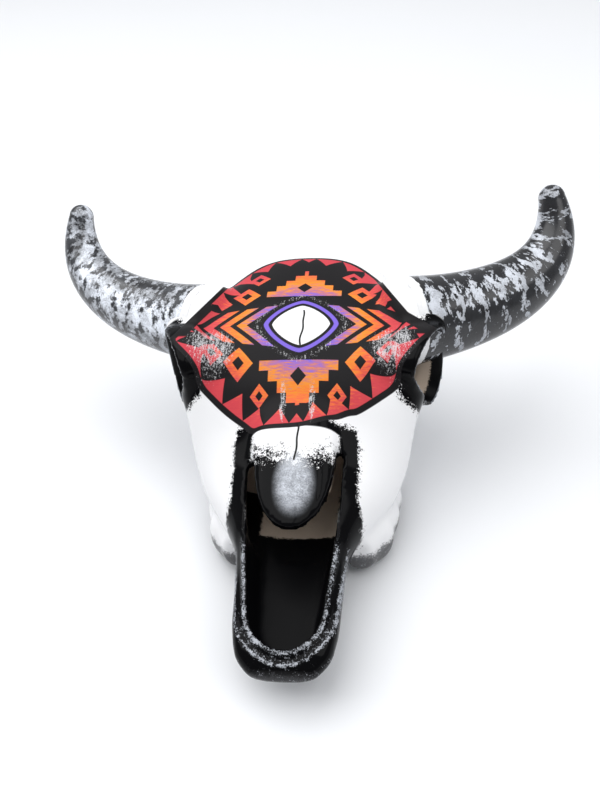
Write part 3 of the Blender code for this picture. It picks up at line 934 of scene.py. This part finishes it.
def suture_path(y):
    """The middle line's place across the skull."""
    return MIDLINE + sum(size * np.sin(y / length + shift) for size, length, shift in SUTURE_WAVES)


def cut_suture(head, sizes):
    """Incises the middle line from the medallion to the root of the nasal bones."""
    x, y, z = to_table(read_vectors(head.data.polygons, "center")).T
    beside, beyond = SUTURE_MARGINS
    near = (np.abs(x - suture_path(y)) < beside) & (z > SUTURE_LOWEST)
    near &= (y > SUTURE_PARTS[0][0] - beyond) & (y < SUTURE_PARTS[-1][1] + beyond)
    subdivide(head, near, SUTURE_CUTS)
    points = to_table(read_vectors(head.data.vertices, "co"))
    normals = read_vectors(head.data.vertices, "normal")
    x, y, z = points.T
    deep = soft_bump(x, suture_path(y), sizes.suture_width / MM / 2)
    deep *= (normals[:, 2] > SUTURE_SLOPE) & (z > SUTURE_LOWEST)
    deep *= np.any([(y > low) & (y < high) for low, high in SUTURE_PARTS], axis=0)
    lay_points(head, points - normals * (deep * sizes.suture_depth / MM)[:, None])
    store(head.data, "suture", deep)


def paint_fields(head, skin):
    """Stores on the head how each point lies to the painted and bare zones."""
    points = read_vectors(head.data.vertices, "co")
    depth = [skin.find_nearest(Vector(point))[3] / MM for point in points]
    store(head.data, "depth", depth)
    fields = {"patch": patch_field, "socket_rim": socket_rim_field, "rim": rim_field, "snout": snout_field}
    for name, field in fields.items():
        store(head.data, name, field(to_table(points)))


class Field:
    """A number that varies over a surface. Reckoning with it lays out the nodes that do so.

    Between masks, & is where both hold, | is where either holds, and ~ is where a mask doesn't hold.
    """

    def __init__(self, desk, socket):
        self.desk = desk
        self.socket = socket

    def __add__(self, other):
        return self.desk.math("ADD", self, other)

    def __sub__(self, other):
        return self.desk.math("SUBTRACT", self, other)

    def __rsub__(self, other):
        return self.desk.math("SUBTRACT", other, self)

    def __mul__(self, other):
        return self.desk.math("MULTIPLY", self, other)

    def __truediv__(self, other):
        return self.desk.math("DIVIDE", self, other)

    def __pow__(self, power):
        return self.desk.math("POWER", self, power)

    def __abs__(self):
        return self.desk.math("ABSOLUTE", self)

    def __and__(self, mask):
        return self * mask

    def __or__(self, mask):
        return self.desk.math("MAXIMUM", self, mask)

    def __invert__(self):
        return 1.0 - self


class NodeDesk:
    """Short calls that lay out the nodes of a material or of the world."""

    def __init__(self, data, shader="Principled BSDF"):
        data.use_nodes = True
        self.data = data
        self.tree = data.node_tree
        self.shader = self.tree.nodes[shader]
        self.count = 0

    def add(self, kind, inputs=None, **settings):
        """A node with its settings, and with values or links at some of its inputs."""
        node = self.tree.nodes.new(kind)
        node.location = (-NODE_GAP * (2 + self.count // NODE_ROWS), -NODE_GAP * (self.count % NODE_ROWS))
        self.count += 1
        for setting, value in settings.items():
            setattr(node, setting, value)
        for name, value in (inputs or {}).items():
            self.put(node.inputs[name], value)
        return node

    def put(self, socket, value):
        if isinstance(value, Field):
            value = value.socket
        if isinstance(value, bpy.types.NodeSocket):
            self.tree.links.new(value, socket)
        else:
            socket.default_value = value

    def math(self, operation, *values):
        node = self.add("ShaderNodeMath", dict(enumerate(values)), operation=operation)
        return Field(self, node.outputs[0])

    def vector_math(self, operation, *vectors):
        node = self.add("ShaderNodeVectorMath", dict(enumerate(vectors)), operation=operation)
        return Field(self, node.outputs["Value"])

    def attribute(self, name):
        return Field(self, self.add("ShaderNodeAttribute", attribute_name=name).outputs["Fac"])

    def split(self, vector):
        """The three parts of a vector."""
        return [Field(self, part) for part in self.add("ShaderNodeSeparateXYZ", {0: vector}).outputs]

    def noise(self, vector, scale, detail=4.0, roughness=0.6):
        inputs = {"Vector": vector, "Scale": scale, "Detail": detail, "Roughness": roughness}
        return Field(self, self.add("ShaderNodeTexNoise", inputs).outputs["Fac"])

    def mapping(self, vector, scale=(1.0, 1.0, 1.0), location=(0.0, 0.0, 0.0), turn=(0.0, 0.0, 0.0)):
        inputs = {"Vector": vector, "Scale": scale, "Location": location, "Rotation": turn}
        return self.add("ShaderNodeMapping", inputs).outputs[0]

    def step(self, value, low, high, start=0.0, end=1.0):
        """A start value below low and an end value above high, with a soft step between them."""
        inputs = {"Value": value, "From Min": low, "From Max": high, "To Min": start, "To Max": end}
        node = self.add("ShaderNodeMapRange", inputs, interpolation_type="SMOOTHSTEP")
        return Field(self, node.outputs["Result"])

    def edge(self, value, name):
        """A mask with one of the soft edges of the table."""
        return self.step(value, *EDGES[name])

    def within(self, value, low, high, soft):
        """A mask of where a value lies between two limits."""
        return self.step(value, low - soft, low + soft) & self.step(value, high + soft, high - soft)

    def mix(self, share, first, second):
        """A colour between two."""
        inputs = {"Factor": share}
        for socket, colour in ((6, first), (7, second)):
            inputs[socket] = colour if isinstance(colour, bpy.types.NodeSocket) else (*colour, 1.0)
        return self.add("ShaderNodeMix", inputs, data_type="RGBA").outputs[2]

    def mix_value(self, share, first, second):
        inputs = {"Factor": share, 2: first, 3: second}
        return Field(self, self.add("ShaderNodeMix", inputs, data_type="FLOAT").outputs[0])

    def ramp(self, value, positions, colours):
        """Colours along a value from 0 to 1."""
        node = self.add("ShaderNodeValToRGB", {"Fac": value})
        band = node.color_ramp
        while len(band.elements) < len(positions):
            band.elements.new(0.5)
        for element, position, colour in zip(band.elements, positions, colours):
            element.position = position
            element.color = (*colour, 1.0)
        return node.outputs["Color"]

    def coat(self, colour, roughness, relief, strength, height):
        """Gives the shader its colour, its roughness and a fine relief."""
        bump = self.add("ShaderNodeBump", {"Strength": strength, "Distance": height, "Height": relief})
        inputs = {"Base Color": colour, "Roughness": roughness, "Normal": bump.outputs[0]}
        for name, value in inputs.items():
            self.put(self.shader.inputs[name], value)


def any_of(masks):
    """A mask of where at least one of some masks holds."""
    total = masks[0]
    for mask in masks[1:]:
        total = total | mask
    return total


def oval(x, y, middle_x, middle_y, half_x, half_y):
    """0 in the middle of an oval and 1 on its edge."""
    return ((x - middle_x) / half_x) ** 2.0 + ((y - middle_y) / half_y) ** 2.0


def motif_masks(desk, x, y, patch):
    """A plain geometric design for the forehead: its medallion, ring and motifs, mirrored left and right."""
    across = abs(x - MEDALLION["middle"][0])
    up = y - MEDALLION["middle"][1]
    away = abs(up)
    half_x, half_y = MEDALLION["halves"]
    lozenge = (across / half_x) ** MEDALLION["power"] + (away / half_y) ** MEDALLION["power"]
    medallion = desk.edge(lozenge, "medallion")
    ring = desk.within(lozenge, *MEDALLION["ring"])
    border = desk.edge(patch, "motif_border")
    # Nested chevrons at both sides of the medallion
    slanted = away * CHEVRON["slant"] + across
    strokes = desk.within(desk.math("MODULO", slanted, CHEVRON["spacing"]), *CHEVRON["stroke"])
    chevrons = strokes & desk.edge(slanted, "chevron_start") & border
    chevrons = chevrons & desk.edge(across * CHEVRON["narrowing"] + away, "chevron_end")
    # Stepped pyramids above and below the medallion, each with a window
    rise = away - PYRAMID["foot"]
    stair = desk.math("FLOOR", rise / PYRAMID["stair"]) * PYRAMID["stair"]
    pyramids = desk.step(PYRAMID["half"] - stair - across, 0.0, CRISP) & desk.step(rise, 0.0, CRISP)
    window = desk.edge(across + abs(rise - PYRAMID["window"]), "pyramid_window")
    pyramids = pyramids & desk.edge(patch, "pyramid_border") & window
    # Diamonds between them, and a sawtooth band along the edge of the patch
    diamonds = []
    for dx, dy, size in DIAMONDS:
        reach = abs(across - dx) + abs(up - dy)
        hole = size * DIAMOND_HOLE
        diamonds.append(desk.step(reach, size, size - CRISP) & desk.step(reach, hole, hole + CRISP))
    pace = desk.math("PINGPONG", desk.math("ARCTAN2", up, across) * SAWTOOTH["teeth"], 1.0)
    tips = pace * SAWTOOTH["height"] + SAWTOOTH["foot"]
    sawtooth = desk.step(tips - patch, 0.0, CRISP) & desk.edge(patch, "sawtooth_border")
    sawtooth = sawtooth & desk.edge(away, "sawtooth_gap")
    motifs = chevrons | pyramids | (any_of(diamonds) & border) | sawtooth
    out = desk.math("SQRT", across**2.0 + up**2.0)
    return medallion, ring, motifs, lozenge, out


def head_material(colours):
    """White and black glaze, the painted forehead, silver dry-brushing and bare clay inside."""
    desk = NodeDesk(bpy.data.materials.new("skull_head_glaze"))
    coordinates = desk.add("ShaderNodeTexCoord").outputs["Object"]
    table = desk.mapping(coordinates, scale=(1 / MM,) * 3, location=tuple(-PLACE))
    x, y, z = desk.split(table)
    names = ("patch", "rim", "snout", "depth", "suture", "socket_rim")
    patch, rim, snout, depth, suture, socket_rim = (desk.attribute(name) for name in names)

    # Ragged edges of brushed paint, fine speckle, and strokes across the forehead
    rag = desk.noise(table, 0.4, detail=8.0, roughness=0.74)
    fleck = desk.noise(table, 1.9, detail=5.0, roughness=0.7)
    grain = desk.noise(table, 4.2, detail=3.0)
    strokes = desk.noise(desk.mapping(table, scale=(2.2, 0.28, 1.0)), 0.8, detail=5.0, roughness=0.7)
    streak = desk.noise(desk.mapping(table, scale=(0.35, 2.2, 1.0), turn=(0.0, 0.0, 0.5)), 0.9)

    def ragged(field, spread, soft=0.25):
        return desk.step(field + (rag - 0.5) * spread + (fleck - 0.5) * spread, -soft, soft)

    # Black of the sockets, the snout and the free nasal bones, and a grey wash low on the face
    width = abs(x)
    on_flap = desk.edge(width + (fleck - 0.5) * 5.0, "flap_side") & desk.edge(y, "flap_root")
    on_flap = on_flap & desk.edge(z, "upper")
    flap_black = on_flap & ragged(abs(x - 0.5) * 0.3 + (FLAP_WHITE_END - y), 27.0, 0.35)
    white_root = on_flap & ~flap_black
    socket_black = ragged(SOCKET_BLACK - socket_rim, 9.0) & desk.edge(y, "socket_back")
    black = ((socket_black | ragged(snout, 6.0)) & ~white_root) | flap_black
    wash = ragged(y * -0.12 + WASH_LEVEL - z, 11.0, 1.5) * 0.9

    # Silver dry-brushed over raised places; on the nasal bulge a soft, brighter oval that is partly a painted
    # highlight
    crests = [
        desk.edge(abs(rim - distance), name)
        for distance, name in zip(CREST_DISTANCES, ("inner_crest", "outer_crest"))
    ]
    between_crests = desk.within(rim, *BETWEEN_CRESTS) & desk.edge(y, "muzzle_front")
    raised = (any_of(crests) & desk.edge(y, "rim_front")) | (between_crests * 0.6)
    brushed = (raised * 0.15) | (wash * 0.07)
    speckle = rag * 0.5 + fleck * 0.5
    caught = desk.edge(brushed + speckle, "caught") & desk.edge(brushed, "brushed")
    bulge = on_flap & desk.edge(oval(x, y, *BULGE_OVAL), "flap_bulge")
    bulge_silver_and_highlight = bulge * (desk.edge(speckle, "bulge_silver_and_highlight") * 0.6 + 0.45)
    silver = (caught | bulge_silver_and_highlight) & desk.edge(depth, "surface")

    # Painted forehead, scuffed in places
    patch_mask = desk.edge(patch, "patch")
    medallion, ring, motifs, lozenge, out = motif_masks(desk, x, y, patch)
    tones = (colours.violet, DUSK, colours.orange, EMBER, colours.coral, WINE)
    sunset = desk.ramp((out + (streak - 0.5) * 20.0) / SUNSET_REACH, SUNSET_STOPS, tones)
    worn = [desk.edge(oval(x, y, *spot), "scuff_place") for spot in SCUFF_OVALS]
    worn.append(desk.within(lozenge, *SCUFFS_ROUND_MEDALLION) * 0.8)
    scuffs = desk.edge(any_of(worn) * 0.22 + strokes * 0.55 + fleck * 0.55, "scuffs")
    design = desk.mix(motifs & desk.edge(socket_rim, "painted"), colours.ground, sunset)
    design = desk.mix(ring, design, colours.violet)
    design = desk.mix(medallion, design, colours.white)
    design = desk.mix((scuffs & ~medallion) * 0.85, design, SCUFF_GREY)

    # Inside: black near the openings, then bare clay
    inside = desk.edge(depth, "inside")
    nose_clay = desk.math("MINIMUM", y + NOSE_CLAY[0], NOSE_CLAY[1] - width)
    clay_field = desk.mix_value(desk.edge(y, "nose"), socket_rim - CLAY_FROM_SOCKET, nose_clay)
    clay = inside & ragged(clay_field, 3.0, 0.4) & desk.edge(depth, "deep_inside")
    clay_tone = desk.mix(fleck, [value * DIM_CLAY for value in colours.bisque], colours.bisque)

    # Layers of colour, from the glaze outwards
    rim_line = desk.edge(socket_rim, "socket_edge") & desk.edge(depth, "near_surface")
    # Brighter silver on the nasal bulge, partly a painted highlight
    silver_tone = desk.mix(bulge, colours.silver, [value * BRIGHT_SILVER for value in colours.silver])
    colour = desk.mix(black, colours.white, colours.black)
    layers = (
        (wash, WASH_GREY),
        (patch_mask, design),
        (rim_line * 0.8, colours.silver),
        (silver & ~patch_mask, silver_tone),
        (desk.edge(suture, "suture"), CRACK_BLACK),
        (inside, colours.black),
        (clay, clay_tone),
    )
    for mask, tone in layers:
        colour = desk.mix(mask, colour, tone)

    # Roughness of the glaze, the paints and the clay, and their fine relief
    rough = 0.12
    layers = (
        (patch_mask, 0.34),
        (silver & ~inside, 0.5),
        (medallion & patch_mask, 0.2),
        (inside, 0.4),
        (clay, 0.85),
    )
    for mask, level in layers:
        rough = desk.mix_value(mask, rough, level)
    rough = rough + (fleck - 0.5) * 0.06
    relief = silver * 0.5 + (clay & grain) * 0.8 + (scuffs & patch_mask) * 0.4
    desk.shader.inputs["Specular IOR Level"].default_value = 0.07
    desk.coat(colour, rough, relief, 0.35, 0.12 * MM)
    return desk.data


def horn_material(name, side, colours):
    """Black glaze dry-brushed with silver in strokes and bands, after a white start at the head."""
    look = HORN_PAINT[name]
    desk = NodeDesk(bpy.data.materials.new("skull_horn_glaze_" + name))
    flow = desk.add("ShaderNodeAttribute", attribute_name="flow").outputs["Vector"]
    length = desk.split(flow)[2]
    fine = desk.noise(flow, 1.6, detail=5.0, roughness=0.7)
    wash = desk.noise(flow, 0.16, detail=3.0)
    stretched = desk.mapping(flow, scale=look["strokes"])
    brush = desk.noise(stretched, look["stroke_size"], detail=7.0, roughness=look["rough"])
    # Silver bands across the horn, and a painted highlight along the side that faces up and forwards
    moved = length + (wash - 0.5) * 15.0
    bands = desk.edge(desk.math("PINGPONG", moved / (look["band_spacing"] / 2), 1.0), "horn_bands")
    across, up = look["painted_highlight"]
    facing = desk.vector_math("DOT_PRODUCT", flow, (side * across, up, 0.0))
    upwards = facing / desk.vector_math("LENGTH", desk.mapping(flow, scale=(1.0, 1.0, 0.0)))
    painted_highlight = desk.edge(upwards, "horn_painted_highlight")
    blend = bands * look["band_weight"] + brush * 0.9 + painted_highlight * look["painted_highlight_weight"]
    # Painted light and shade: more silver on the half that faces up and forwards, less underneath
    blend = blend + desk.edge(upwards, "horn_painted_shading") * look["painted_shading_weight"]
    silver = desk.step(blend + (fine - 0.5) * 0.12, *look["share"])
    shades = [[value * level for value in colours.silver] for level in look["shades"]]
    # The painted highlight also lifts the silver towards its lightest tone
    metal = desk.ramp(painted_highlight * 0.1 + wash * 0.5 + fine * 0.5, METAL_STOPS, shades)
    # A thin silver haze over the black as well
    haze = desk.mix(desk.edge(wash, "horn_haze"), HORN_BLACK, look["haze"])
    painted = desk.edge(length + (brush - 0.5) * 4.0, "horn_edge")
    colour = desk.mix(painted, colours.white, desk.mix(silver, haze, metal))
    desk.coat(colour, desk.mix_value(silver, 0.22, 0.46), blend, 0.3, 0.1 * MM)
    return desk.data


def horn_body(name, side, sizes):
    """A bent, tapering horn with a blunt tip, from its painted edge to its tip."""
    marks = spaced(*HORN_START_SEARCH)
    start = next(t for t in marks if abs(horn_point(t, side)[0]) > HORN_ROOT_CUT - HORN_LEAD)
    marks = spaced(start, HORN_END[name], sizes.rings)
    points = [horn_point(t, side) for t in marks]
    radii = [horn_radius(t) * HORN_THICKNESS[name] for t in marks]
    rounded_end(points, radii, radii[-1], SECTIONS["horn_tip"])
    horn = ring_body("horn_" + name + "_glazed", tube_rings(points, radii, sizes.sides))
    combine(horn, [box_body("root_cut", side, ROOT_CUT_BOX)], "DIFFERENCE")
    store_flow(horn, np.array(points), side)
    return horn


def store_flow(horn, line, side):
    """Keeps each point's place on the horn as if it were straight: across, up and along, in millimetres."""
    steps = np.linalg.norm(np.diff(line, axis=0), axis=1)
    lengths = np.concatenate(([0.0], np.cumsum(steps)))
    headings = np.gradient(line, axis=0)
    headings /= np.linalg.norm(headings, axis=1)[:, None]
    across = np.cross(headings, (0.0, 1.0, 0.3))
    across /= np.linalg.norm(across, axis=1)[:, None]
    upwards = np.cross(across, headings)
    places = to_table(read_vectors(horn.data.vertices, "co"))
    nearest = np.array([np.argmin(((line - spot) ** 2).sum(1)) for spot in places])
    apart = places - line[nearest]
    columns = [np.einsum("ij,ij->i", apart, way[nearest]) for way in (across, upwards, headings)]
    columns[2] += lengths[nearest] - lengths[np.argmax(side * line[:, 0] > HORN_ROOT_CUT)]
    kept = horn.data.attributes.new("flow", "FLOAT_VECTOR", "POINT")
    kept.data.foreach_set("vector", np.column_stack(columns).astype(np.float32).ravel())


def dress(obj, material):
    """Gives a finished piece its material, or stops where the piece came out empty."""
    if not obj.data.polygons:
        raise RuntimeError(obj.name + " came out empty")
    obj.data.materials.clear()
    obj.data.materials.append(material)
    select_only(obj)


class SKULL_OT_head(bpy.types.Operator):
    """Build the hollow ceramic head, with its teeth, nose, sockets and paint"""

    bl_idname = "skull.head"
    bl_label = "Ceramic Head"

    def execute(self, context):
        sizes = context.scene.skull_head
        head = solid_head(sizes)
        skin = BVHTree.FromObject(head, context.evaluated_depsgraph_get())
        open_head(head, sizes)
        carve_head(head)
        cut_suture(head, sizes)
        paint_fields(head, skin)
        dress(head, head_material(context.scene.skull_paint))
        bpy.ops.object.shade_smooth()
        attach(head, "root")
        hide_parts(*HEAD_NODES)
        return {"FINISHED"}


class SKULL_OT_horns(bpy.types.Operator):
    """Build both horns, glazed black and brushed with silver"""

    bl_idname = "skull.horns"
    bl_label = "Horns"

    def execute(self, context):
        for name, side in SIDES.items():
            horn = horn_body(name, side, context.scene.skull_horns)
            dress(horn, horn_material(name, side, context.scene.skull_paint))
            bpy.ops.object.shade_smooth_by_angle(angle=HORN_SHARP_EDGE)
            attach(horn, "root")
            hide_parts("horn_" + name)
        return {"FINISHED"}


class SKULL_OT_stage(bpy.types.Operator):
    """Build the pale floor, the soft light and the camera"""

    bl_idname = "skull.stage"
    bl_label = "Stage"

    def execute(self, context):
        sizes = context.scene.skull_stage
        floor = add_primitive("floor", bpy.ops.mesh.primitive_plane_add, size=sizes.floor_size)
        desk = NodeDesk(bpy.data.materials.new("pale_board"))
        coordinates = desk.add("ShaderNodeTexCoord").outputs["Object"]
        desk.put(desk.shader.inputs["Base Color"], desk.mix(desk.noise(coordinates, 3.0), *BOARD_TONES))
        desk.shader.inputs["Roughness"].default_value = 0.6
        dress(floor, desk.data)
        set_light(context)
        set_camera(context, sizes)
        return {"FINISHED"}


def set_light(context):
    """A pale surrounding that is brighter behind the skull, and two broad lamps above it."""
    world = bpy.data.worlds.new("studio")
    desk = NodeDesk(world, "Background")
    direction = desk.add("ShaderNodeTexCoord").outputs["Generated"]
    desk.put(desk.shader.inputs["Color"], SKY_COLOUR)
    desk.put(desk.shader.inputs["Strength"], desk.step(desk.split(direction)[1], *SKY_FROM_FRONT_TO_BACK))
    context.scene.world = world
    for name, location, size, power in LAMPS:
        lamp = bpy.data.lights.new(name, "AREA")
        lamp.size = size
        lamp.energy = power
        holder = bpy.data.objects.new(name, lamp)
        holder.location = location
        holder.rotation_euler = (-Vector(location)).to_track_quat("-Z", "Y").to_euler()
        context.scene.collection.objects.link(holder)


def set_camera(context, sizes):
    """The camera stands where the photograph was taken from."""
    right, ahead, flat = math.sin(sizes.heading), math.cos(sizes.heading), math.cos(sizes.elevation)
    back = Vector((right * flat, -ahead * flat, math.sin(sizes.elevation)))
    sideways = (-back).cross(Vector(UPWARDS)).normalized()
    upwards = sideways.cross(-back)
    right = sideways * math.cos(sizes.roll) + upwards * math.sin(sizes.roll)
    above = upwards * math.cos(sizes.roll) - sideways * math.sin(sizes.roll)
    camera = bpy.data.cameras.new("camera")
    camera.lens = sizes.lens
    camera.sensor_width = SENSOR_WIDTH
    camera.clip_start = NEAREST_SEEN
    holder = bpy.data.objects.new("camera", camera)
    turn = Matrix((right, above, back)).transposed().to_4x4()
    turn.translation = Vector(to_frame(CAMERA_AIM)) + back * sizes.distance
    holder.matrix_world = turn
    context.scene.collection.objects.link(holder)
    context.scene.camera = holder
    context.scene.view_settings.view_transform = "Standard"


class SKULL_PT_panel(bpy.types.Panel):
    """Lists the skull's operators and sizes"""

    bl_idname = "SKULL_PT_panel"
    bl_label = "Ceramic Bull Skull"
    bl_space_type = "VIEW_3D"
    bl_region_type = "UI"
    bl_category = "Skull"

    def draw(self, context):
        scene = context.scene
        groups = (
            ("skull.head", scene.skull_head),
            ("skull.horns", scene.skull_horns),
            ("skull.stage", scene.skull_stage),
        )
        for operator, sizes in groups:
            box = self.layout.box()
            box.operator(operator)
            for name in sizes.__annotations__:
                box.prop(sizes, name)
        box = self.layout.box()
        for name in scene.skull_paint.__annotations__:
            box.prop(scene.skull_paint, name)


GROUPS = {
    "skull_head": SkullHeadSizes,
    "skull_horns": SkullHornSizes,
    "skull_paint": SkullPaintColours,
    "skull_stage": SkullStageSizes,
}
CLASSES = (SKULL_OT_head, SKULL_OT_horns, SKULL_OT_stage, SKULL_PT_panel)


def register():
    for name, group in GROUPS.items():
        bpy.utils.register_class(group)
        setattr(bpy.types.Scene, name, bpy.props.PointerProperty(type=group))
    for made in CLASSES:
        bpy.utils.register_class(made)


def unregister():
    for made in reversed(CLASSES):
        bpy.utils.unregister_class(made)
    for name, group in GROUPS.items():
        delattr(bpy.types.Scene, name)
        bpy.utils.unregister_class(group)


def main():
    register()
    bpy.ops.skull.head()
    bpy.ops.skull.horns()
    bpy.ops.skull.stage()


if __name__ == "__main__":
    main()
